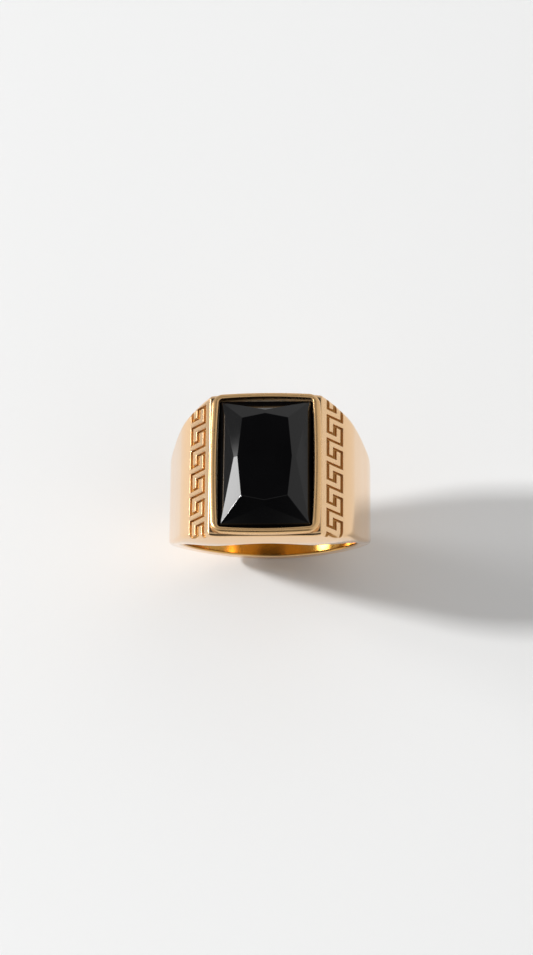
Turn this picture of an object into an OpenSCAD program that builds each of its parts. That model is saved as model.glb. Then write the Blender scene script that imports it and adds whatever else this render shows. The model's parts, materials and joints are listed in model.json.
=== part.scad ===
// Signet ring: a cast band with a hollowed head and Greek-key shoulders, a rectangular bezel
// frame let into the head, a bearer ledge inside it, a bead of adhesive and a faceted black stone.
// Millimetres. The origin is the centre of the finger hole, Y runs along the finger, +Z is up
// through the stone.

/* [Finger hole] */
// Inside diameter of the band
bore_d = 19.8; // [17.3:0.1:22.2]

/* [Band] */
// Metal thickness at the sides and the bottom of the hoop
band_t = 1.5; // [1.2:0.05:2]
// Width of the band at the bottom of the hoop
bottom_w = 4.4; // [3.5:0.1:6]
// Width of the band level with the centre of the hole
middle_w = 9.3; // [8:0.1:11]

/* [Head] */
// Length of the head along the finger
head_l = 16.9; // [16.8:0.1:18]
// Thickness of the head above the top of the finger hole
head_t = 2.6; // [2.4:0.1:3]
// Half width of the flat top, where the sloped shoulders start
flat_half = 6.2; // [6.2:0.05:6.8]
// Half width at the ridge where a sloped shoulder turns into the hoop
ridge_half = 9.35; // [9:0.05:9.8]
// Height of that ridge above the centre of the hole
ridge_z = 8.65; // [8.2:0.05:9]

// Half width at which the ends of the head start to draw in
corner_half = 6.6; // [6.4:0.05:7]
// How fast the ends draw in from there, in millimetres of length per millimetre of width
corner_slope = 0.54; // [0.4:0.02:0.7]

/* [Greek key] */
// Pitch of the pattern along the finger
key_pitch = 2.79; // [2.6:0.01:3]
// Width of the pattern across the shoulder
key_w = 2.8; // [2.6:0.05:3.2]
// Width of the engraved lines that run along the finger
key_line = 0.46; // [0.3:0.02:0.5]
// Width of the engraved lines that run across the shoulder
key_cross = 0.32; // [0.24:0.02:0.4]
// Width of the short line in the middle of each key
key_bar = 0.62; // [0.4:0.02:0.8]
// Depth of the engraving
key_depth = 0.3; // [0.15:0.05:0.5]
// Distance from the edge of the flat top to the pattern
key_gap = 0.82; // [0.4:0.02:1]
// Where a full cross line falls on the right shoulder, along the finger
key_start_right = 0.54; // [-1.4:0.02:1.4]
// Where a full cross line falls on the left shoulder, along the finger
key_start_left = -0.14; // [-1.4:0.02:1.4]

/* [Window under the stone] */
// Width of the window in the underside of the head
window_w = 9.7; // [8:0.1:10]
// Length of the window along the finger
window_l = 12.6; // [10:0.1:13]
// Corner radius of the window
window_r = 0.8; // [0.4:0.1:1.5]

/* [Bezel] */
// Outside width of the bezel frame
bezel_w = 12.4; // [12.2:0.05:12.5]
// Outside length of the bezel frame
bezel_l = 16.7; // [16.5:0.05:16.7]
// Height of the rim above the head
bezel_h = 0.8; // [0.7:0.05:1.2]
// Corner radius of the frame
bezel_r = 1.35; // [0.8:0.05:2]
// How far each side bows outwards
bulge = 0.24; // [0.1:0.02:0.4]
// Width of the opening that holds the stone
open_w = 10.9; // [10.7:0.02:11]
// Length of the opening that holds the stone
open_l = 15.6; // [15.4:0.02:15.7]

/* [Stone] */
// Gap between the stone and the frame, all the way round
stone_gap = 0.1; // [0.06:0.01:0.14]
// How far the crown's corners sit below the rim of the frame
stone_drop = 0.2; // [0.1:0.02:0.4]
// Height of the crown from its corners to the table
crown_h = 1.82; // [1.4:0.02:2.1]
// Thickness of the stone below the crown's corners
girdle_t = 1.2; // [1.1:0.05:1.4]
// Half width of the crown at its corners
corner_x = 4.86; // [4.8:0.02:4.9]
// Half length of the crown at its corners
corner_y = 7.2; // [7.1:0.02:7.26]
// How far outside those corners the steep skirt starts
skirt_out = 0.12; // [0.06:0.02:0.16]
// Angle of the skirt from level
skirt_angle = 62; // [56:1:66]
// Half width of the table at its middle
table_x = 3; // [2.5:0.05:3.3]
// Half length of the table at its middle
table_y = 5.15; // [4.6:0.05:5.4]
// Half width of the table at its corners
table_cx = 2.55; // [2.2:0.05:2.8]
// Half length of the table at its corners
table_cy = 4.6; // [4:0.05:4.9]
// How far below the table the long side facets come to a point
apex_drop = 0.3; // [0.2:0.02:0.4]

/* [Hidden] */
$fn = 96;

gold = [0.87, 0.66, 0.40];
onyx = [0.03, 0.03, 0.035];
resin = [0.72, 0.70, 0.62];

bore_r = bore_d / 2;
hoop_r = bore_r + band_t;
head_z = bore_r + head_t;            // flat top of the head, under the bezel
rim_z = head_z + bezel_h;            // top of the bezel rim
bore_over = 1;                       // how far a cutter runs past what it cuts
big = 60;                            // larger than any part of the ring
corner_steps = 6;                    // straight steps in each rounded corner
side_steps = 4;                      // straight steps in half of a bowed side
key_inset = 0.31;                    // where a key's short bars sit, as a share of the pitch

// The stone's levels
corner_z = rim_z - stone_drop;
girdle_low = corner_z - girdle_t;
table_z = corner_z + crown_h;

// The stone's outline, and the chamfer round its flat back
stone_w = open_w - 2 * stone_gap;
stone_l = open_l - 2 * stone_gap;
stone_r = 0.35;
back_chamfer = 0.15;

// The long facets' points lie on the kite facets, a little outside the table
kite_side_run = (corner_x - table_x) + corner_y * (table_x - table_cx) / table_cy;
kite_end_run = (corner_y - table_y) + corner_x * (table_y - table_cy) / table_cx;
apex_x = table_x + apex_drop / crown_h * kite_side_run;
apex_y = table_y + apex_drop / crown_h * kite_end_run;

// The bearer is a ledge inside the frame, and the adhesive lies on it and round the stone
fit_gap = 0.02;                      // sliding gap between two pieces that are pushed together
glue_t = 0.08;                       // thickness of the adhesive under the stone
glue_drop = 0.9;                     // how far the adhesive stops below the crown's corners
ledge_h = 0.7;
ledge_in_w = 8.9;
ledge_in_l = 13.4;
ledge_z = girdle_low - glue_t;       // top of the ledge
open_r = 0.45;                       // corner radius of the opening

// The frame's plug sinks into a pocket in the head
plug_w = bezel_w - 0.6;
plug_l = bezel_l - 0.8;
plug_r = bezel_r - 0.3;
pocket_z = ledge_z - ledge_h;        // floor of the pocket

// Circle of a shoulder: it passes through the ridge and meets the hoop near its widest point
meet_angle = 82;                     // from +Z, where shoulder and hoop meet
meet = hoop_r * [sin(meet_angle), cos(meet_angle)];
shoulder_tilt = 3;                   // turn between hoop and shoulder where they meet
shoulder_dir = [sin(meet_angle - shoulder_tilt), cos(meet_angle - shoulder_tilt)];
ridge = [ridge_half, ridge_z];
ridge_step = ridge - meet;
shoulder_r = -(ridge_step * ridge_step) / (2 * (ridge_step * shoulder_dir));
shoulder_c = meet - shoulder_r * shoulder_dir;

// The sloped panel, from the edge of the flat top down to the ridge
panel_run = [ridge_half - flat_half, ridge_z - head_z];
panel_angle = atan2(-panel_run[1], panel_run[0]);

// The side faces of the band are one long hollow curve from head to bottom
taper_top = [head_l / 2, bore_r - 0.7];
taper_mid = [middle_w / 2, 0];
taper_low = [bottom_w / 2, -hoop_r];

// Centre of the circle through three points
function circle_through(a, b, c) =
    let (ab = b - a, ac = c - a,
         d = 2 * (ab[0] * ac[1] - ab[1] * ac[0]),
         u = (ac[1] * (ab * ab) - ab[1] * (ac * ac)) / d,
         v = (ab[0] * (ac * ac) - ac[0] * (ab * ab)) / d)
    a + [u, v];

// Points of an arc about c from angle a0 to a1, in n steps
function arc(c, r, a0, a1, n) =
    [for (i = [0:n]) let (t = a0 + (a1 - a0) * i / n) c + r * [cos(t), sin(t)]];

// Centre of the circle tangent inside two arcs: A and B are its distances from their centres
function corner_centre(ca, A, cb, B) =
    let (d = norm(cb - ca),
         e = (cb - ca) / d,
         t = (A * A - B * B + d * d) / (2 * d))
    ca + t * e + sqrt(A * A - t * t) * [-e[1], e[0]];

// One quarter of a cushion outline, as points anticlockwise: half of the bowed side,
// the corner and half of the bowed end. a and b are the half sizes.
function cushion_quarter(a, b, r, s) =
    let (ra = (b * b + s * s) / (2 * s),
         rb = (a * a + s * s) / (2 * s),
         ca = [a - ra, 0],
         cb = [0, b - rb],
         p = corner_centre(ca, ra - r, cb, rb - r),
         ta = atan2(p[1], p[0] - ca[0]),
         tb = atan2(p[1] - cb[1], p[0]))
    concat(arc(ca, ra, 0, ta, side_steps),
           arc(p, r, ta, tb, corner_steps),
           arc(cb, rb, tb, 90, side_steps));

// A rectangle with bowed sides and round corners
module cushion(w, l, r, s) {
    quarter = cushion_quarter(w / 2, l / 2, r, s);
    right = concat([for (i = [len(quarter) - 1:-1:0]) [quarter[i][0], -quarter[i][1]]], quarter);
    left = [for (i = [len(right) - 1:-1:0]) [-right[i][0], right[i][1]]];
    polygon(concat(right, left));
}

module cushion_block(w, l, r, z0, z1) {
    translate([0, 0, z0]) linear_extrude(z1 - z0) cushion(w, l, r, bulge);
}

// Front view of the band without its hole, in X and Z
module front_profile() {
    circle(r = hoop_r);
    intersection() {
        translate(shoulder_c) circle(r = shoulder_r);
        translate([-shoulder_c[0], shoulder_c[1]]) circle(r = shoulder_r);
        polygon([
            [-flat_half, head_z], [flat_half, head_z],
            [flat_half, head_z] + 2 * panel_run, [big, meet[1]],
            [-big, meet[1]], [-flat_half - 2 * panel_run[0], head_z + 2 * panel_run[1]]]);
    }
}

// Top view of the head: its ends draw in towards the shoulders
module head_plan() {
    reach = hoop_r + bore_over;
    end = head_l / 2;
    drawn = end - corner_slope * (reach - corner_half);
    polygon([
        [-corner_half, end], [corner_half, end], [reach, drawn], [reach, -drawn],
        [corner_half, -end], [-corner_half, -end], [-reach, -drawn], [-reach, drawn]]);
}

// Everything beyond the front side face of the band
module side_cut() {
    c = circle_through(taper_top, taper_mid, taper_low);
    translate([0, c[0], c[1]]) rotate([0, 90, 0]) cylinder(h = big, r = norm(c - taper_mid), center = true);
}

// The engraved line of one key, as strips. u runs down the slope, v along the finger.
module key_unit() {
    um = key_w / 2;
    low = key_pitch * key_inset;
    high = key_pitch - low;
    half = key_cross / 2;
    translate([0, -half]) square([key_w, key_cross]);
    translate([0, low - half]) square([key_line, key_pitch - low + half]);
    translate([0, low - half]) square([um, key_cross]);
    translate([um - key_bar / 2, low - half]) square([key_bar, high - low + key_cross]);
    translate([um, high - half]) square([um, key_cross]);
    translate([key_w - key_line, -half]) square([key_line, high + key_cross]);
}

// All keys of one shoulder, cut into the right-hand panel
module key_cut(start) {
    count = ceil(head_l / key_pitch / 2) + 1;
    translate([flat_half, 0, head_z]) rotate([0, panel_angle, 0])
        translate([key_gap, 0, -key_depth])
            intersection() {
                linear_extrude(key_depth + bore_over)
                    for (i = [-count:count]) translate([0, start + i * key_pitch]) key_unit();
                translate([0, -head_l, 0]) cube([key_w, 2 * head_l, 2 * head_l]);
            }
}

module window_cut() {
    w = window_w - 2 * window_r;
    l = window_l - 2 * window_r;
    linear_extrude(head_z + bore_over) {
        square([window_w, l], center = true);
        square([w, window_l], center = true);
        for (x = [-w / 2, w / 2], y = [-l / 2, l / 2]) translate([x, y]) circle(r = window_r);
    }
}

module band() {
    color(gold) difference() {
        intersection() {
            rotate([90, 0, 0]) linear_extrude(head_l, center = true) front_profile();
            linear_extrude(big, center = true) head_plan();
        }
        side_cut();
        mirror([0, 1, 0]) side_cut();
        rotate([90, 0, 0]) cylinder(h = big, r = bore_r, center = true);
        window_cut();
        cushion_block(plug_w + 2 * fit_gap, plug_l + 2 * fit_gap, plug_r, pocket_z, head_z + bore_over);
        key_cut(key_start_right);
        rotate([0, 0, 180]) key_cut(-key_start_left);
    }
}

module bezel_frame() {
    color(gold) difference() {
        union() {
            cushion_block(bezel_w, bezel_l, bezel_r, head_z, rim_z);
            cushion_block(plug_w, plug_l, plug_r, pocket_z, head_z + fit_gap);
        }
        cushion_block(open_w, open_l, open_r, pocket_z - bore_over, rim_z + bore_over);
    }
}

module bearer() {
    color(gold) difference() {
        cushion_block(open_w - 2 * fit_gap, open_l - 2 * fit_gap, open_r, pocket_z, ledge_z);
        cushion_block(ledge_in_w, ledge_in_l, open_r, pocket_z - bore_over, ledge_z + bore_over);
    }
}

// Everything on the lower side of the plane through three points
module below(p, q, r) {
    n = cross(q - p, r - p) * (cross(q - p, r - p)[2] > 0 ? 1 : -1);
    translate(p) rotate([0, acos(n[2] / norm(n)), atan2(n[1], n[0])])
        translate([-big / 2, -big / 2, -big]) cube(big);
}

// What is under the eight kite facets, the four long triangles and the steep skirt of the crown
module crown() {
    corner = [corner_x, corner_y, corner_z];
    table_corner = [table_cx, table_cy, table_z];
    table_side = [table_x, 0, table_z];
    table_end = [0, table_y, table_z];
    apex_side = [apex_x, 0, table_z - apex_drop];
    apex_end = [0, apex_y, table_z - apex_drop];
    along_x = [1, 0, 0];
    along_y = [0, 1, 0];
    fall = crown_h - apex_drop;
    skirt_side = corner + skirt_out * [1, 0, -fall / (corner_x - apex_x)];
    skirt_end = corner + skirt_out * [0, 1, -fall / (corner_y - apex_y)];
    steep = [0, 0, -tan(skirt_angle)];
    intersection_for (sx = [0, 1], sy = [0, 1])
        mirror([sx, 0, 0]) mirror([0, sy, 0]) intersection() {
            below(corner, table_corner, table_side);
            below(corner, table_corner, table_end);
            below(corner, apex_side, corner + along_y);
            below(corner, apex_end, corner + along_x);
            below(skirt_side, skirt_side + along_y, skirt_side + along_x + steep);
            below(skirt_end, skirt_end + along_x, skirt_end + along_y + steep);
        }
}

// The body of the stone under its crown, with a chamfer round the flat back
module stone_blank() {
    half_w = stone_w / 2 - back_chamfer;
    half_l = stone_l / 2 - back_chamfer;
    intersection() {
        cushion_block(stone_w, stone_l, stone_r, girdle_low, table_z);
        intersection_for (turn = [0, 1]) rotate([0, 0, 90 * turn]) rotate([90, 0, 0])
            linear_extrude(big, center = true) chamfered(turn == 0 ? half_w : half_l);
    }
}

// Section of a block that opens out at 45 degrees from the stone's back
module chamfered(half) {
    polygon([
        [-half, girdle_low], [half, girdle_low],
        [half + crown_h + girdle_t, table_z], [-half - crown_h - girdle_t, table_z]]);
}

module stone() {
    color(onyx) intersection() {
        stone_blank();
        crown();
    }
}

// A film on the ledge and a collar up the sides of the stone
module adhesive_bead() {
    color(resin) difference() {
        cushion_block(open_w, open_l, open_r, ledge_z, corner_z - glue_drop);
        cushion_block(ledge_in_w, ledge_in_l, open_r, ledge_z - bore_over, girdle_low);
        stone_blank();
    }
}

band();
bezel_frame();
bearer();
adhesive_bead();
stone();
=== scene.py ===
"""The looks of a signet ring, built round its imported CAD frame.

Shapes are worked out in millimetres, with the finger hole's centre as the origin, Y along the
finger and +Z up through the stone, and go to Blender in metres. Overall sizes come from the frame.
"""

import json
import math

import bmesh
import bpy
import numpy as np
from mathutils import Matrix, Vector


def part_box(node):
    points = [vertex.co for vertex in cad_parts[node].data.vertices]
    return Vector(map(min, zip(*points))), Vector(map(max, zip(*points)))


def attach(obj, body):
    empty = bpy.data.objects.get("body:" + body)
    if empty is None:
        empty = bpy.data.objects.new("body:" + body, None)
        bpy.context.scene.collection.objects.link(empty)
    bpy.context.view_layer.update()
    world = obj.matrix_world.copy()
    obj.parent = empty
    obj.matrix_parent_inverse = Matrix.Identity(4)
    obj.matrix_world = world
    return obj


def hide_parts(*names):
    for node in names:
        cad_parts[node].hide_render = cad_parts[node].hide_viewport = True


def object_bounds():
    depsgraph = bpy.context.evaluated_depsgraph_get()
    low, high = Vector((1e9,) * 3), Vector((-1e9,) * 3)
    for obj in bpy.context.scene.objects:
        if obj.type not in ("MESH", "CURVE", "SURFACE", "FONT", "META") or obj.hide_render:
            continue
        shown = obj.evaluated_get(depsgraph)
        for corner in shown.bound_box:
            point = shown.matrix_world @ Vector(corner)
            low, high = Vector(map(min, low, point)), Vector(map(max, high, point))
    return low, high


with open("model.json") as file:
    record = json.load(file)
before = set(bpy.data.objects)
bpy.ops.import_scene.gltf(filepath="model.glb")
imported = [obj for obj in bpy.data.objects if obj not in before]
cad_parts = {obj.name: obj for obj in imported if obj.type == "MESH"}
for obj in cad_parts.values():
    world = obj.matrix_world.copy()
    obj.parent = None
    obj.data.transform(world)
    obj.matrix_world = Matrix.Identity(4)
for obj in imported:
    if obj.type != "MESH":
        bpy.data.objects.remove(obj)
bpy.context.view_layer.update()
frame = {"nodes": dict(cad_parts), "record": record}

MM = 0.001


def high(node):
    """A node's highest corner, in millimetres."""
    return np.array(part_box(node)[1]) / MM


# ---------------------------------------------------------------- sizes

HOOP_WALL = 1.5
BORE_R = frame["record"]["mounts"][0]["dims"]["r_mm"]
HOOP_R = BORE_R + HOOP_WALL
HEAD_Z = high("band")[2]
HEAD_HALF = high("band")[1]
RIM_Z = high("bezel_frame")[2]
BEZEL_W, BEZEL_L = 2 * high("bezel_frame")[:2]
STONE_W, STONE_L = 2 * high("stone")[:2]
TABLE_Z = high("stone")[2]
STONE_GAP = 0.1
OPEN_W = STONE_W + 2 * STONE_GAP
OPEN_L = STONE_L + 2 * STONE_GAP
OPEN_R = 0.45
BEZEL_R = 1.35
STONE_R = 0.35
BULGE = 0.24
CROWN_H = 1.82
GIRDLE_T = 1.2
CORNER_Z = TABLE_Z - CROWN_H

# Front view of the head: flat top, sloped panel, ridge, then a shallow arc down to the hoop
FLAT_HALF = 6.2
RIDGE = np.array([9.35, 8.65])
MEET_ANGLE = math.radians(82)
MEET_TILT = math.radians(3)

# Top view of the head: its ends draw in towards the shoulders
CORNER_HALF = 6.6
CORNER_SLOPE = 0.54

# Half widths of the band, as (half width, height), on one long hollow curve
TAPER = np.array([[HEAD_HALF, BORE_R - 0.7], [4.65, 0.0], [2.2, -HOOP_R]])

# Greek key
KEY_PITCH = 2.79
KEY_W = 2.8
KEY_LINE = 0.46
KEY_CROSS = 0.32
KEY_BAR = 0.62
KEY_INSET = 0.31
KEY_GAP = 0.82
KEY_DEPTH = 0.3
KEY_START_RIGHT = 0.54
KEY_START_LEFT = -0.14

# Pocket for the frame's plug, and the window under the stone
PLUG_IN_X = 0.3
PLUG_IN_Y = 0.4
PLUG_W = BEZEL_W - 2 * PLUG_IN_X
PLUG_L = BEZEL_L - 2 * PLUG_IN_Y
PLUG_R = 1.05
POCKET_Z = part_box("bezel_frame")[0][2] / MM
WINDOW_W = 9.7
WINDOW_L = 12.6
WINDOW_R = 0.8


# ---------------------------------------------------------------- fields
# A field is negative inside the metal, in millimetres, and its size is close to the distance.

def smooth_max(a, b, blend):
    """The larger of two fields, with a soft corner about blend wide."""
    over = np.maximum(blend - np.abs(a - b), 0) / blend
    return np.maximum(a, b) + over * over * blend / 4


def round_max(a, b, radius):
    """The larger of two fields, with a round outer corner of that radius."""
    corner = np.hypot(np.maximum(a + radius, 0), np.maximum(b + radius, 0))
    return np.minimum(-radius, np.maximum(a, b)) + corner


def cushion_field(x, y, width, length, radius):
    """A rectangle with bowed sides and round corners."""
    a, b = width / 2, length / 2
    side_r = (b * b + BULGE * BULGE) / (2 * BULGE)
    end_r = (a * a + BULGE * BULGE) / (2 * BULGE)
    side = np.hypot(np.abs(x) - (a - side_r), y) - side_r
    end = np.hypot(x, np.abs(y) - (b - end_r)) - end_r
    return round_max(side, end, radius)


def box_field(x, y, half_x, half_y):
    """A rectangle about the origin."""
    dx, dy = np.abs(x) - half_x, np.abs(y) - half_y
    return np.hypot(np.maximum(dx, 0), np.maximum(dy, 0)) + np.minimum(np.maximum(dx, dy), 0)


def circle_through(p, q, r):
    """Centre and radius of the circle through three points."""
    a, b = q - p, r - p
    d = 2 * (a[0] * b[1] - a[1] * b[0])
    step = np.array([b[1] * (a @ a) - a[1] * (b @ b), a[0] * (b @ b) - b[0] * (a @ a)]) / d
    return p + step, float(np.hypot(*step))


def shoulder_circle():
    """The arc that passes through the ridge and meets the hoop at a slight angle."""
    meet = HOOP_R * np.array([math.sin(MEET_ANGLE), math.cos(MEET_ANGLE)])
    tilt = MEET_ANGLE - MEET_TILT
    out = np.array([math.sin(tilt), math.cos(tilt)])
    step = RIDGE - meet
    radius = -(step @ step) / (2 * (step @ out))
    return meet - radius * out, radius, meet[1]


SHOULDER_C, SHOULDER_R, MEET_Z = shoulder_circle()
TAPER_C, TAPER_R = circle_through(*TAPER)
PANEL_RUN = RIDGE - np.array([FLAT_HALF, HEAD_Z])
PANEL_ANGLE = math.atan2(-PANEL_RUN[1], PANEL_RUN[0])
PANEL_COS, PANEL_SIN = math.cos(PANEL_ANGLE), math.sin(PANEL_ANGLE)
CORNER_ANGLE = math.atan(CORNER_SLOPE)


def panel_height(x, z):
    """How far a point stands above the sloped panel of its side."""
    return (np.abs(x) - FLAT_HALF) * PANEL_SIN + (z - HEAD_Z) * PANEL_COS


def outline_field(x, z):
    """The band's front view without its hole."""
    ax = np.abs(x)
    head = round_max(z - HEAD_Z, panel_height(x, z), 0.08)
    shoulder = np.hypot(ax - SHOULDER_C[0], z - SHOULDER_C[1]) - SHOULDER_R
    head = round_max(head, shoulder, 0.45)
    head = np.maximum(head, MEET_Z - z)
    hoop = np.hypot(x, z) - HOOP_R
    blend = 0.12
    return -smooth_max(-head, -hoop, blend)


def side_field(x, y, z):
    """What lies beyond the two side faces of the band."""
    ax, ay = np.abs(x), np.abs(y)
    corner = (ax - CORNER_HALF) * math.sin(CORNER_ANGLE) + (ay - HEAD_HALF) * math.cos(CORNER_ANGLE)
    end = smooth_max(ay - HEAD_HALF, corner, 0.8)
    taper = TAPER_R - np.hypot(ay - TAPER_C[0], z - TAPER_C[1])
    return smooth_max(end, taper, 0.7)


def key_strokes():
    """One key's engraved lines as (low u, low v, width, length): u runs down the slope."""
    middle = KEY_W / 2
    low = KEY_PITCH * KEY_INSET
    high_v = KEY_PITCH - low
    half = KEY_CROSS / 2
    return [
        (0, -half, KEY_W, KEY_CROSS),
        (0, low - half, KEY_LINE, KEY_PITCH - low + half),
        (0, low - half, middle, KEY_CROSS),
        (middle - KEY_BAR / 2, low - half, KEY_BAR, high_v - low + KEY_CROSS),
        (middle, high_v - half, middle, KEY_CROSS),
        (KEY_W - KEY_LINE, -half, KEY_LINE, high_v + KEY_CROSS),
    ]


def key_field(x, y, z):
    """The engraving: negative where metal is cut away."""
    right = x > 0
    along = np.where(right, y - KEY_START_RIGHT, KEY_START_LEFT - y)
    u = (np.abs(x) - FLAT_HALF) * PANEL_COS - (z - HEAD_Z) * PANEL_SIN - KEY_GAP
    line = np.full(np.shape(u), 9.0)
    for u0, v0, width, length in key_strokes():
        v = (along - v0 - length / 2 + KEY_PITCH / 2) % KEY_PITCH - KEY_PITCH / 2
        line = np.minimum(line, box_field(u - u0 - width / 2, v, width / 2, length / 2))
    depth = -panel_height(x, z)
    draft = 0.18
    wall = line + draft * depth
    return smooth_max(wall, depth - KEY_DEPTH, 0.1)


def band_field(p):
    """The whole band: hoop, shoulders and head, with the hole, window, pocket and engraving."""
    x, y, z = p
    body = round_max(outline_field(x, z), side_field(x, y, z), 0.42)
    body = smooth_max(body, -key_field(x, y, z), 0.07)
    body = round_max(body, BORE_R - np.hypot(x, z), 0.28)
    window = box_field(x, y, WINDOW_W / 2 - WINDOW_R, WINDOW_L / 2 - WINDOW_R) - WINDOW_R
    window = np.maximum(window, -z)
    body = round_max(body, -window, 0.2)
    pocket = cushion_field(x, y, PLUG_W + 0.04, PLUG_L + 0.04, PLUG_R)
    pocket = np.maximum(pocket, POCKET_Z - z)
    return smooth_max(body, -pocket, 0.06)


# ---------------------------------------------------------------- surfaces

def spaced(stops, steps):
    """Grid lines through the stops, with about the given step in each stretch."""
    lines = [stops[0]]
    for start, stop, step in zip(stops, stops[1:], steps):
        count = max(1, round((stop - start) / step))
        lines.extend(start + (stop - start) * (i + 1) / count for i in range(count))
    return np.array(lines)


def gradient(field, p):
    """The field's slope at each point, by central differences."""
    reach = 0.004
    slope = np.empty_like(p)
    for axis in range(3):
        step = np.zeros((3, 1))
        step[axis] = reach
        slope[axis] = (field(p + step) - field(p - step)) / (2 * reach)
    return slope


def skin(field, lines):
    """Vertices, quads and normals of the surface where the field is nought, on a grid of lines."""
    grid = np.meshgrid(*lines, indexing="ij")
    values = field(np.stack([g.ravel() for g in grid])).reshape(grid[0].shape)
    inside = values < 0
    total = np.zeros([n - 1 for n in inside.shape] + [3])
    count = np.zeros(total.shape[:3])
    cell = tuple(slice(0, n - 1) for n in inside.shape)
    crossings = []
    for axis in range(3):
        near = tuple(slice(0, -1) if a == axis else slice(None) for a in range(3))
        far = tuple(slice(1, None) if a == axis else slice(None) for a in range(3))
        at = np.argwhere(inside[near] != inside[far])
        a = values[near][tuple(at.T)]
        b = values[far][tuple(at.T)]
        point = np.stack([lines[i][at[:, i]] for i in range(3)], axis=1)
        gap = lines[axis][at[:, axis] + 1] - lines[axis][at[:, axis]]
        point[:, axis] += gap * a / (a - b)
        others = [other for other in range(3) if other != axis]
        for i in (0, 1):
            for j in (0, 1):
                to = at.copy()
                to[:, others[0]] -= i
                to[:, others[1]] -= j
                ok = np.all((to >= 0) & (to < total.shape[:3]), axis=1)
                np.add.at(total, tuple(to[ok].T), point[ok])
                np.add.at(count, tuple(to[ok].T), 1)
        crossings.append((axis, others, at, inside[near][tuple(at.T)]))
    used = count > 0
    index = np.full(count.shape, -1)
    index[used] = np.arange(used.sum())
    verts = (total[used] / count[used][:, None]).T
    for _ in range(5):
        slope = gradient(field, verts)
        move = field(verts) / np.maximum((slope * slope).sum(axis=0), 0.2)
        verts = verts - np.clip(move, -0.05, 0.05) * slope
    slope = gradient(field, verts)
    normals = slope / np.maximum(np.linalg.norm(slope, axis=0), 1e-9)
    quads = []
    for axis, others, at, low_inside in crossings:
        limit = np.array(count.shape)[others]
        ok = np.all((at[:, others] > 0) & (at[:, others] < limit), axis=1)
        at, low_inside = at[ok], low_inside[ok]
        corners = []
        for i, j in ((0, 0), (1, 0), (1, 1), (0, 1)):
            to = at.copy()
            to[:, others[0]] -= i
            to[:, others[1]] -= j
            corners.append(index[tuple(to.T)])
        quad = np.stack(corners, axis=1)
        flip = low_inside if axis != 1 else ~low_inside
        quad[~flip] = quad[~flip][:, ::-1]
        quads.append(quad)
    return verts.T, np.concatenate(quads), normals.T


def add_mesh(name, verts, faces, normals=None):
    """A smooth mesh object from points in millimetres."""
    mesh = bpy.data.meshes.new(name)
    mesh.from_pydata(verts * MM, [], [list(map(int, f)) for f in faces])
    mesh.polygons.foreach_set("use_smooth", [True] * len(mesh.polygons))
    if normals is not None:
        mesh.normals_split_custom_set_from_vertices(normals)
    piece = bpy.data.objects.new(name, mesh)
    bpy.context.scene.collection.objects.link(piece)
    return piece


def add_tone(piece, name, values):
    """A number at every vertex, which the material reads."""
    tone = piece.data.attributes.new(name, "FLOAT", "POINT")
    tone.data.foreach_set("value", np.asarray(values, dtype=np.float32))


def finish_piece(piece, node, material):
    piece.data.materials.append(material)
    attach(piece, "root")
    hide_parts(node)


# ---------------------------------------------------------------- band

def make_band(material):
    fine, coarse = 0.055, 0.24
    edge = HOOP_R + 0.2
    xs = spaced([-edge, -8.8, -6.2, 6.2, 8.8, edge], [coarse, fine, coarse, fine, coarse])
    ys = spaced([-HEAD_HALF - 0.1, HEAD_HALF + 0.1], [0.075])
    zs = spaced([-edge, 9.0, HEAD_Z + 0.1], [coarse, fine])
    verts, faces, normals = skin(band_field, [xs, ys, zs])
    band = add_mesh("ring_band", verts, faces, normals)
    x, y, z = verts.T
    # The engraving's depth, which the material turns into painted shade: the grooves darkened to brown.
    depth = np.clip(-panel_height(x, z) / KEY_DEPTH, 0, 1)
    near = np.clip(1 - np.maximum(key_field(x, y, z), 0) / 0.06, 0, 1)
    # The finger hole, where the material paints a deeper amber reflection of gold on gold.
    inside = np.clip((BORE_R + 0.15 - np.hypot(x, z)) / 0.1, 0, 1)
    add_tone(band, "engraving_shade", near * depth)
    add_tone(band, "bore_reflection", inside)
    finish_piece(band, "band", material)


# ---------------------------------------------------------------- bezel frame

def corner_circle(a, b, radius):
    """Side, corner and end arcs of a cushion with half sizes a and b."""
    side_r = (b * b + BULGE * BULGE) / (2 * BULGE)
    end_r = (a * a + BULGE * BULGE) / (2 * BULGE)
    side_c, end_c = np.array([a - side_r, 0.0]), np.array([0.0, b - end_r])
    reach_side, reach_end = side_r - radius, end_r - radius
    step = end_c - side_c
    length = float(np.hypot(*step))
    step /= length
    along = (reach_side ** 2 - reach_end ** 2 + length ** 2) / (2 * length)
    across = math.sqrt(reach_side ** 2 - along ** 2)
    centre = side_c + along * step + across * np.array([-step[1], step[0]])
    start = math.atan2(centre[1], centre[0] - side_c[0])
    stop = math.atan2(centre[1] - end_c[1], centre[0])
    return side_c, side_r, centre, start, stop, end_c, end_r


def cushion_outline(width, length, radius, side_steps, corner_steps):
    """Points anticlockwise round a cushion."""
    side_c, side_r, centre, start, stop, end_c, end_r = corner_circle(width / 2, length / 2, radius)

    def arc(c, r, a0, a1, steps):
        turn = np.linspace(a0, a1, steps + 1)
        return np.stack([c[0] + r * np.cos(turn), c[1] + r * np.sin(turn)], axis=1)

    quarter = np.concatenate([
        arc(side_c, side_r, 0, start, side_steps)[:-1],
        arc(centre, radius, start, stop, corner_steps)[:-1],
        arc(end_c, end_r, stop, math.pi / 2, side_steps)[:-1],
    ])
    top = np.array([[0.0, length / 2]])
    left = quarter[1:][::-1] * [-1, 1]
    upper = np.concatenate([quarter, top, left])
    lower = np.concatenate([[[-width / 2, 0.0]], upper[1:][::-1] * [1, -1]])
    return np.concatenate([upper, lower])


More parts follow.
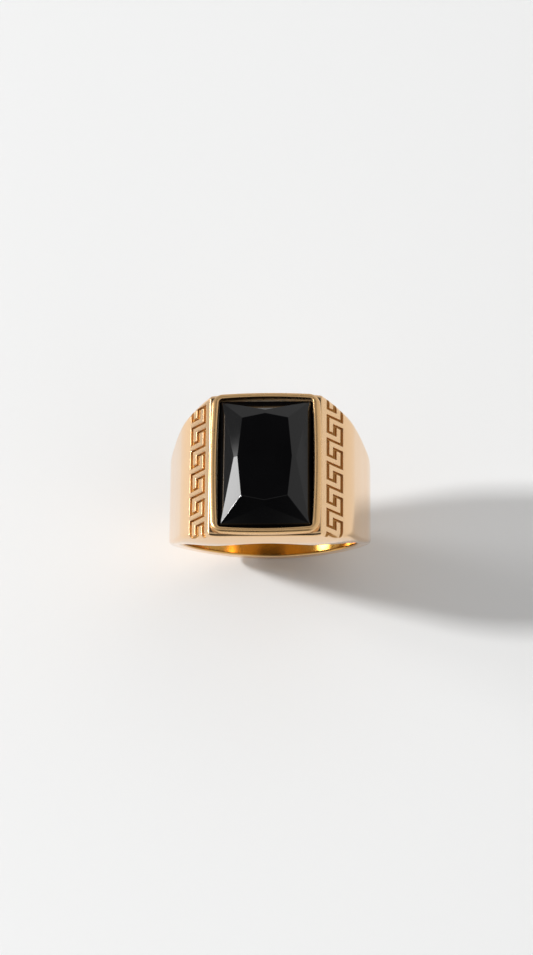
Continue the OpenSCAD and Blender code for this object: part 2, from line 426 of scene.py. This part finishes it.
def fillet(centre, radius, start, stop, steps):
    """Points of a round edge in a section, as (inset, height), with angles in degrees."""
    turn = np.radians(np.linspace(start, stop, steps + 1))
    return [(centre[0] - radius * math.cos(t), centre[1] + radius * math.sin(t)) for t in turn]


def make_bezel(material):
    """The frame: one closed section swept round the cushion outline."""
    wide, deep = (BEZEL_W - OPEN_W) / 2, (BEZEL_L - OPEN_L) / 2
    outer_r, crown_r, inner_r = 0.32, 0.75, 0.07
    foot_r = 0.07
    middle = (outer_r + wide - inner_r) / 2
    edge = math.degrees(math.asin((middle - outer_r) / (crown_r - outer_r)))
    brow = math.degrees(math.asin((wide - inner_r - middle) / (crown_r - inner_r)))
    outer_z = RIM_Z - crown_r + (crown_r - outer_r) * math.cos(math.radians(edge))
    inner_z = RIM_Z - crown_r + (crown_r - inner_r) * math.cos(math.radians(brow))
    section = fillet((foot_r, HEAD_Z + foot_r), foot_r, -90, 0, 4)
    section += fillet((outer_r, outer_z), outer_r, 0, 90 - edge, 7)
    section += fillet((middle, RIM_Z - crown_r), crown_r, 90 - edge, 90 + brow, 6)[1:]
    section += fillet((wide - inner_r, inner_z), inner_r, 90 + brow, 180, 5)[1:]
    rings = []
    for inset, height in section:
        share = inset / wide
        rings.append((inset, deep * share, BEZEL_R + (OPEN_R - BEZEL_R) * share, height))
    foot_z = POCKET_Z + 0.02
    inner, outer = 0.06, 0.08
    rings.append((wide, deep, OPEN_R, foot_z + inner))
    rings.append((wide - inner, deep - inner, OPEN_R + 0.05, foot_z))
    rings.append((PLUG_IN_X + outer, PLUG_IN_Y + outer, PLUG_R - outer, foot_z))
    rings.append((PLUG_IN_X, PLUG_IN_Y, PLUG_R, foot_z + outer))
    rings.append((PLUG_IN_X, PLUG_IN_Y, PLUG_R, HEAD_Z + 0.01))
    loops = []
    for dx, dy, radius, height in rings:
        outline = cushion_outline(BEZEL_W - 2 * dx, BEZEL_L - 2 * dy, radius, side_steps=16, corner_steps=14)
        loops.append(np.column_stack([outline, np.full(len(outline), height)]))
    size = len(loops[0])
    verts = np.concatenate(loops)
    faces = []
    for i in range(len(loops)):
        a, b = i * size, (i + 1) % len(loops) * size
        faces += [(a + j, a + (j + 1) % size, b + (j + 1) % size, b + j) for j in range(size)]
    bezel = add_mesh("ring_bezel_frame", verts, faces)
    finish_piece(bezel, "bezel_frame", material)


# ---------------------------------------------------------------- stone

TABLE_SIDE = 3.0
TABLE_END = 5.15
TABLE_CORNER = np.array([2.55, 4.6])
APEX_DROP = 0.3
CORNER = np.array([4.86, 7.2])
SKIRT_OUT = 0.12
SKIRT_ANGLE = math.radians(62)
BACK_CHAMFER = 0.15
EDGE_ROUND = 0.022

# Facets larger than this, and flatter than the skirt, have slightly crowned normals
FACET_AREA = 0.3
FACET_LEVEL = 0.55
CROWN_ACROSS = 0.024
CROWN_ALONG = 0.0065


def stone_planes():
    """The crown's facets and skirt as (point, normal), all facing outwards."""
    corner_x, corner_y = CORNER
    planes = [(np.array([0, 0, TABLE_Z]), np.array([0, 0, 1.0]))]
    side_run = (corner_x - TABLE_SIDE) + corner_y * (TABLE_SIDE - TABLE_CORNER[0]) / TABLE_CORNER[1]
    end_run = (corner_y - TABLE_END) + corner_x * (TABLE_END - TABLE_CORNER[1]) / TABLE_CORNER[0]
    apex_x = TABLE_SIDE + APEX_DROP / CROWN_H * side_run
    apex_y = TABLE_END + APEX_DROP / CROWN_H * end_run
    fall = CROWN_H - APEX_DROP
    steep = np.array([math.sin(SKIRT_ANGLE), math.cos(SKIRT_ANGLE)])
    for axis, half, apex in ((0, corner_x, apex_x), (1, corner_y, apex_y)):
        skirt_z = CORNER_Z - SKIRT_OUT * fall / (half - apex)
        for sign in (1, -1):
            for out, height, slope in (
                    (half, CORNER_Z, np.array([fall, half - apex])), (half + SKIRT_OUT, skirt_z, steep)):
                point, normal = np.zeros(3), np.zeros(3)
                point[axis], point[2] = sign * out, height
                normal[axis], normal[2] = sign * slope[0], slope[1]
                planes.append((point, normal))
    for sx in (1, -1):
        for sy in (1, -1):
            flip = np.array([sx, sy, 1])
            corner = np.array([corner_x, corner_y, CORNER_Z]) * flip
            table = np.array([*TABLE_CORNER, TABLE_Z]) * flip
            for end in ([TABLE_SIDE, 0, TABLE_Z], [0, TABLE_END, TABLE_Z]):
                planes.append((corner, np.cross(table - corner, np.array(end) * flip - corner)))
    return [(p, n / np.linalg.norm(n) * (1 if n[2] > 0 else -1)) for p, n in planes]


def facet_normals(mesh):
    """A normal for each face corner: flat, but slightly crowned on the crown's facets."""
    normals = [None] * len(mesh.loops)
    for face in mesh.polygons:
        crowned = FACET_LEVEL < face.normal.z < 0.99 and face.area > FACET_AREA * MM * MM
        for loop in face.loop_indices:
            place = mesh.vertices[mesh.loops[loop].vertex_index].co / MM
            normal = face.normal.copy()
            if crowned:
                across = place.x - face.center.x / MM
                normal += Vector((across * CROWN_ACROSS, place.y * CROWN_ALONG, 0))
            normals[loop] = normal.normalized()
    return normals


def make_stone(material):
    low = CORNER_Z - GIRDLE_T
    outline = cushion_outline(STONE_W, STONE_L, STONE_R, side_steps=10, corner_steps=6)
    shape = bmesh.new()
    base = [shape.verts.new((x, y, low)) for x, y in outline]
    lid = [shape.verts.new((x, y, TABLE_Z + 1)) for x, y in outline]
    count = len(outline)
    for i in range(count):
        shape.faces.new((base[i], base[(i + 1) % count], lid[(i + 1) % count], lid[i]))
    shape.faces.new(base[::-1])
    shape.faces.new(lid)
    for point, normal in stone_planes():
        every = shape.verts[:] + shape.edges[:] + shape.faces[:]
        cut = bmesh.ops.bisect_plane(
            shape, geom=every, plane_co=Vector(point), plane_no=Vector(normal), clear_outer=True, dist=1e-5)
        edges = [e for e in cut["geom_cut"] if isinstance(e, bmesh.types.BMEdge)]
        if edges:
            bmesh.ops.edgeloop_fill(shape, edges=[e for e in edges if e.is_boundary])
    bmesh.ops.remove_doubles(shape, verts=shape.verts, dist=1e-4)
    bmesh.ops.recalc_face_normals(shape, faces=shape.faces)
    sharp = math.radians(3)
    crown = []
    for edge in shape.edges:
        rises = max(f.normal.z for f in edge.link_faces) > 0.3
        if rises and len(edge.link_faces) == 2 and edge.calc_face_angle(0) > sharp:
            crown.append(edge)
    under = [e for e in shape.edges if min(f.normal.z for f in e.link_faces) < -0.9]
    bmesh.ops.bevel(shape, geom=crown, offset=EDGE_ROUND, segments=2, profile=0.5, affect="EDGES")
    under = [e for e in under if e.is_valid]
    bmesh.ops.bevel(shape, geom=under, offset=BACK_CHAMFER, segments=1, profile=0.5, affect="EDGES")
    bmesh.ops.scale(shape, vec=(MM, MM, MM), verts=shape.verts)
    mesh = bpy.data.meshes.new("faceted_stone")
    shape.to_mesh(mesh)
    shape.free()
    mesh.polygons.foreach_set("use_smooth", [True] * len(mesh.polygons))
    mesh.normals_split_custom_set(facet_normals(mesh))
    stone = bpy.data.objects.new("faceted_stone", mesh)
    bpy.context.scene.collection.objects.link(stone)
    finish_piece(stone, "stone", material)


# ---------------------------------------------------------------- materials

def new_material(name):
    material = bpy.data.materials.new(name)
    material.use_nodes = True
    nodes = material.node_tree.nodes
    return material, nodes, material.node_tree.links, nodes["Principled BSDF"]


def noise(nodes, links, scale, detail):
    """A noise texture in object space. Scale is in bumps per metre."""
    place = nodes.new("ShaderNodeTexCoord")
    texture = nodes.new("ShaderNodeTexNoise")
    texture.inputs["Scale"].default_value = scale
    texture.inputs["Detail"].default_value = detail
    links.new(place.outputs["Object"], texture.inputs["Vector"])
    return texture.outputs["Fac"]


def ranged(nodes, links, source, low, high_value):
    """Maps a source from 0..1 to low..high."""
    node = nodes.new("ShaderNodeMapRange")
    node.inputs["To Min"].default_value = low
    node.inputs["To Max"].default_value = high_value
    links.new(source, node.inputs["Value"])
    return node.outputs["Result"]


def mixed(nodes, links, kind, factor, a, b):
    """Mixes two values or colours, each a socket or a constant."""
    node = nodes.new("ShaderNodeMix")
    node.data_type = kind
    sockets = {"FLOAT": (0, 2, 3, 0), "RGBA": (0, 6, 7, 2)}[kind]
    for socket, value in zip(sockets[:3], (factor, a, b)):
        if isinstance(value, bpy.types.NodeSocket):
            links.new(value, node.inputs[socket])
        else:
            node.inputs[socket].default_value = value
    return node.outputs[sockets[3]]


def read_tone(nodes, name):
    """A number that the mesh carries, or nought where it carries none."""
    tone = nodes.new("ShaderNodeAttribute")
    tone.attribute_name = name
    return tone.outputs["Fac"]


def gold_material(name, light, dark, rough_low, rough_high, coat):
    """Polished gold plate, with painted shade browning the engraving and a painted deeper-amber reflection
    in the finger hole.
    """
    material, nodes, links, shader = new_material(name)
    engraving_shade, bore_reflection = read_tone(nodes, "engraving_shade"), read_tone(nodes, "bore_reflection")
    cloud = noise(nodes, links, 260, 3)
    colour = mixed(nodes, links, "RGBA", cloud, light, dark)
    # Painted reflection: the finger hole turns a deeper amber, standing in for gold reflecting gold.
    colour = mixed(nodes, links, "RGBA", bore_reflection, colour, (0.62, 0.335, 0.07, 1))
    # Painted shade: the engraving's grooves turn dark brown, where in reality they only fall into shade.
    colour = mixed(nodes, links, "RGBA", engraving_shade, colour, (0.43, 0.205, 0.05, 1))
    links.new(colour, shader.inputs["Base Color"])
    rough = ranged(nodes, links, noise(nodes, links, 900, 4), rough_low, rough_high)
    rough = mixed(nodes, links, "FLOAT", engraving_shade, rough, 0.42)
    links.new(rough, shader.inputs["Roughness"])
    shader.inputs["Metallic"].default_value = 1.0
    plain = maths(nodes, links, "MAXIMUM", engraving_shade, bore_reflection)
    links.new(mixed(nodes, links, "FLOAT", plain, coat, 0.15), shader.inputs["Coat Weight"])
    shader.inputs["Coat Roughness"].default_value = 0.08
    bump = nodes.new("ShaderNodeBump")
    bump.inputs["Strength"].default_value = 0.12
    bump.inputs["Distance"].default_value = 0.00002
    links.new(noise(nodes, links, 5000, 3), bump.inputs["Height"])
    links.new(bump.outputs["Normal"], shader.inputs["Normal"])
    return material


def speckle(nodes, links, shader, colour_scale, dark, light, rough_scale, rough_low, rough_high):
    """Gives a shader a slightly uneven colour and roughness."""
    colour = mixed(nodes, links, "RGBA", noise(nodes, links, colour_scale, 2), dark, light)
    links.new(colour, shader.inputs["Base Color"])
    rough = ranged(nodes, links, noise(nodes, links, rough_scale, 3), rough_low, rough_high)
    links.new(rough, shader.inputs["Roughness"])


def stone_material():
    material, nodes, links, shader = new_material("black_stone_polish")
    dark, light = (0.0012, 0.0012, 0.0014, 1), (0.003, 0.003, 0.0034, 1)
    speckle(nodes, links, shader, 300, dark, light, 1500, 0.05, 0.09)
    shader.inputs["IOR"].default_value = 1.42
    return material


def resin_material():
    material, nodes, links, shader = new_material("cured_resin")
    dark, light = (0.55, 0.50, 0.38, 1), (0.66, 0.60, 0.48, 1)
    speckle(nodes, links, shader, 900, dark, light, 2500, 0.2, 0.4)
    return material


def floor_material():
    """A pale matt floor, with painted darkness far out of the picture on the left for the stone's left
    facets to reflect.
    """
    material, nodes, links, shader = new_material("pale_floor")
    dark, light = (0.855, 0.86, 0.86, 1), (0.885, 0.89, 0.89, 1)
    colour = mixed(nodes, links, "RGBA", noise(nodes, links, 6, 2), dark, light)
    # Painted darkness: from about 85 to 120 mm out to the left the floor fades to near black, so that the
    # stone's left facets reflect black.
    place = nodes.new("ShaderNodeTexCoord").outputs["Object"]
    along = nodes.new("ShaderNodeVectorMath")
    along.operation = "DOT_PRODUCT"
    links.new(place, along.inputs[0])
    along.inputs[1].default_value = (-0.92, 0.39, 0)
    painted_dark_fade = nodes.new("ShaderNodeMapRange")
    painted_dark_fade.interpolation_type = "SMOOTHSTEP"
    painted_dark_fade.inputs["From Min"].default_value = 0.085
    painted_dark_fade.inputs["From Max"].default_value = 0.12
    links.new(along.outputs["Value"], painted_dark_fade.inputs["Value"])
    colour = mixed(nodes, links, "RGBA", painted_dark_fade.outputs["Result"], colour, (0.06, 0.06, 0.06, 1))
    links.new(colour, shader.inputs["Base Color"])
    shader.inputs["Roughness"].default_value = 0.8
    return material


# ---------------------------------------------------------------- studio

ELEVATION = math.radians(68.5)
RING_LEAN = math.radians(2.5)
FRAME_TILT = math.radians(0.5)
FIELD_OF_VIEW = math.radians(16)
FRAME_HEIGHT = 0.10852
SHIFT_X = -0.0039
SHIFT_Y = 0.0298

# The room: brightness all round, how much it rises to the right, and the least anywhere
ROOM_LIGHT = 0.56
ROOM_RIGHT = 0.25
ROOM_LEAST = 0.03
# Azimuth from -X towards +Y, elevation, and where the soft edge starts and ends, in degrees
DARK_OVERHEAD = (83.7, 67.5, 5, 14)
DARK_FRONT = (-87, 40, 17, 32)
WINDOW = (18, 15.5, 3, 12)
WINDOW_LIGHT = 15


def add_camera():
    """Looks down on the ring's front, with a long lens."""
    rise = math.sin(ELEVATION)
    toward = Vector((math.sin(RING_LEAN) * rise, -math.cos(ELEVATION), math.cos(RING_LEAN) * rise))
    right = Vector((0, 1, 0)).cross(toward).normalized()
    up = toward.cross(right)
    distance = FRAME_HEIGHT / 2 / math.tan(FIELD_OF_VIEW / 2)
    turned_right = right * math.cos(FRAME_TILT) + up * math.sin(FRAME_TILT)
    turned_up = up * math.cos(FRAME_TILT) - right * math.sin(FRAME_TILT)
    data = bpy.data.cameras.new("camera")
    data.sensor_fit = "AUTO"
    data.lens = data.sensor_width / 2 / math.tan(FIELD_OF_VIEW / 2)
    data.shift_x, data.shift_y = SHIFT_X, SHIFT_Y
    data.clip_start = 0.01
    data.clip_end = 20
    camera = bpy.data.objects.new("camera", data)
    bpy.context.scene.collection.objects.link(camera)
    turn = Matrix((turned_right, turned_up, toward)).transposed()
    camera.matrix_world = Matrix.Translation(toward * distance) @ turn.to_4x4()
    bpy.context.scene.camera = camera


def add_softbox(name, azimuth, elevation, distance, width, height, radiance):
    """A rectangular light that faces the ring. Azimuth is from -X, towards +Y, in degrees."""
    data = bpy.data.lights.new(name, "AREA")
    data.shape = "RECTANGLE"
    data.size, data.size_y = width, height
    data.energy = radiance * math.pi * width * height
    light = bpy.data.objects.new(name, data)
    light.location = direction(azimuth, elevation) * distance
    light.rotation_euler = light.location.to_track_quat("Z", "Y").to_euler()
    bpy.context.scene.collection.objects.link(light)


def direction(azimuth, elevation):
    """A unit vector. Azimuth is from -X, towards +Y, in degrees."""
    a, e = math.radians(azimuth), math.radians(elevation)
    return Vector((-math.cos(e) * math.cos(a), math.cos(e) * math.sin(a), math.sin(e)))


def maths(nodes, links, kind, *values):
    """One Math node, fed with sockets or numbers."""
    node = nodes.new("ShaderNodeMath")
    node.operation = kind
    for socket, value in zip(node.inputs, values):
        if isinstance(value, bpy.types.NodeSocket):
            links.new(value, socket)
        else:
            socket.default_value = value
    return node.outputs[0]


def spot(nodes, links, place, azimuth, elevation, inner, outer):
    """1 within inner degrees of a direction, falling softly to 0 at outer degrees."""
    node = nodes.new("ShaderNodeVectorMath")
    node.operation = "DOT_PRODUCT"
    links.new(place, node.inputs[0])
    node.inputs[1].default_value = direction(azimuth, elevation)
    fall = nodes.new("ShaderNodeMapRange")
    fall.interpolation_type = "SMOOTHSTEP"
    fall.inputs["From Min"].default_value = math.cos(math.radians(outer))
    fall.inputs["From Max"].default_value = math.cos(math.radians(inner))
    links.new(node.outputs["Value"], fall.inputs["Value"])
    return fall.outputs["Result"]


def add_world():
    """A room that is lighter to the right, with two dark patches and a lit window low on the left."""
    world = bpy.data.worlds.new("room")
    world.use_nodes = True
    nodes, links = world.node_tree.nodes, world.node_tree.links
    place = nodes.new("ShaderNodeTexCoord").outputs["Generated"]
    split = nodes.new("ShaderNodeSeparateXYZ")
    links.new(place, split.inputs["Vector"])
    light = maths(nodes, links, "MULTIPLY_ADD", split.outputs["X"], ROOM_RIGHT, ROOM_LIGHT)
    for patch in (DARK_OVERHEAD, DARK_FRONT):
        light = maths(nodes, links, "MULTIPLY_ADD", spot(nodes, links, place, *patch), -ROOM_LIGHT, light)
    light = maths(nodes, links, "MAXIMUM", light, ROOM_LEAST)
    window = spot(nodes, links, place, *WINDOW)
    light = maths(nodes, links, "MULTIPLY_ADD", window, WINDOW_LIGHT, light)
    links.new(light, nodes["Background"].inputs["Strength"])
    nodes["Background"].inputs["Color"].default_value = (1, 0.995, 0.99, 1)
    bpy.context.scene.world = world


def add_floor():
    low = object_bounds()[0][2]
    half = 1.5
    mesh = bpy.data.meshes.new("floor")
    corners = [(-half, -half, low), (half, -half, low), (half, half, low), (-half, half, low)]
    mesh.from_pydata(corners, [], [(0, 1, 2, 3)])
    mesh.materials.append(floor_material())
    floor = bpy.data.objects.new("floor", mesh)
    bpy.context.scene.collection.objects.link(floor)


# ---------------------------------------------------------------- build

add_camera()
add_floor()
add_world()
add_softbox("key", 4.5, 36, 1.5, 0.12, 0.12, 365)
gold = gold_material(
    "pale_gold_plate", light=(0.92, 0.61, 0.33, 1), dark=(0.89, 0.57, 0.295, 1),
    rough_low=0.12, rough_high=0.22, coat=0.8)
rim_gold = gold_material(
    "rim_gold_plate", light=(0.84, 0.53, 0.245, 1), dark=(0.80, 0.49, 0.22, 1),
    rough_low=0.24, rough_high=0.32, coat=0.3)
make_band(gold)
make_bezel(rim_gold)
make_stone(stone_material())
for node, material in (("bearer", gold), ("adhesive_bead", resin_material())):
    frame["nodes"][node].data.materials.clear()
    frame["nodes"][node].data.materials.append(material)
bpy.context.scene.view_settings.view_transform = "Standard"
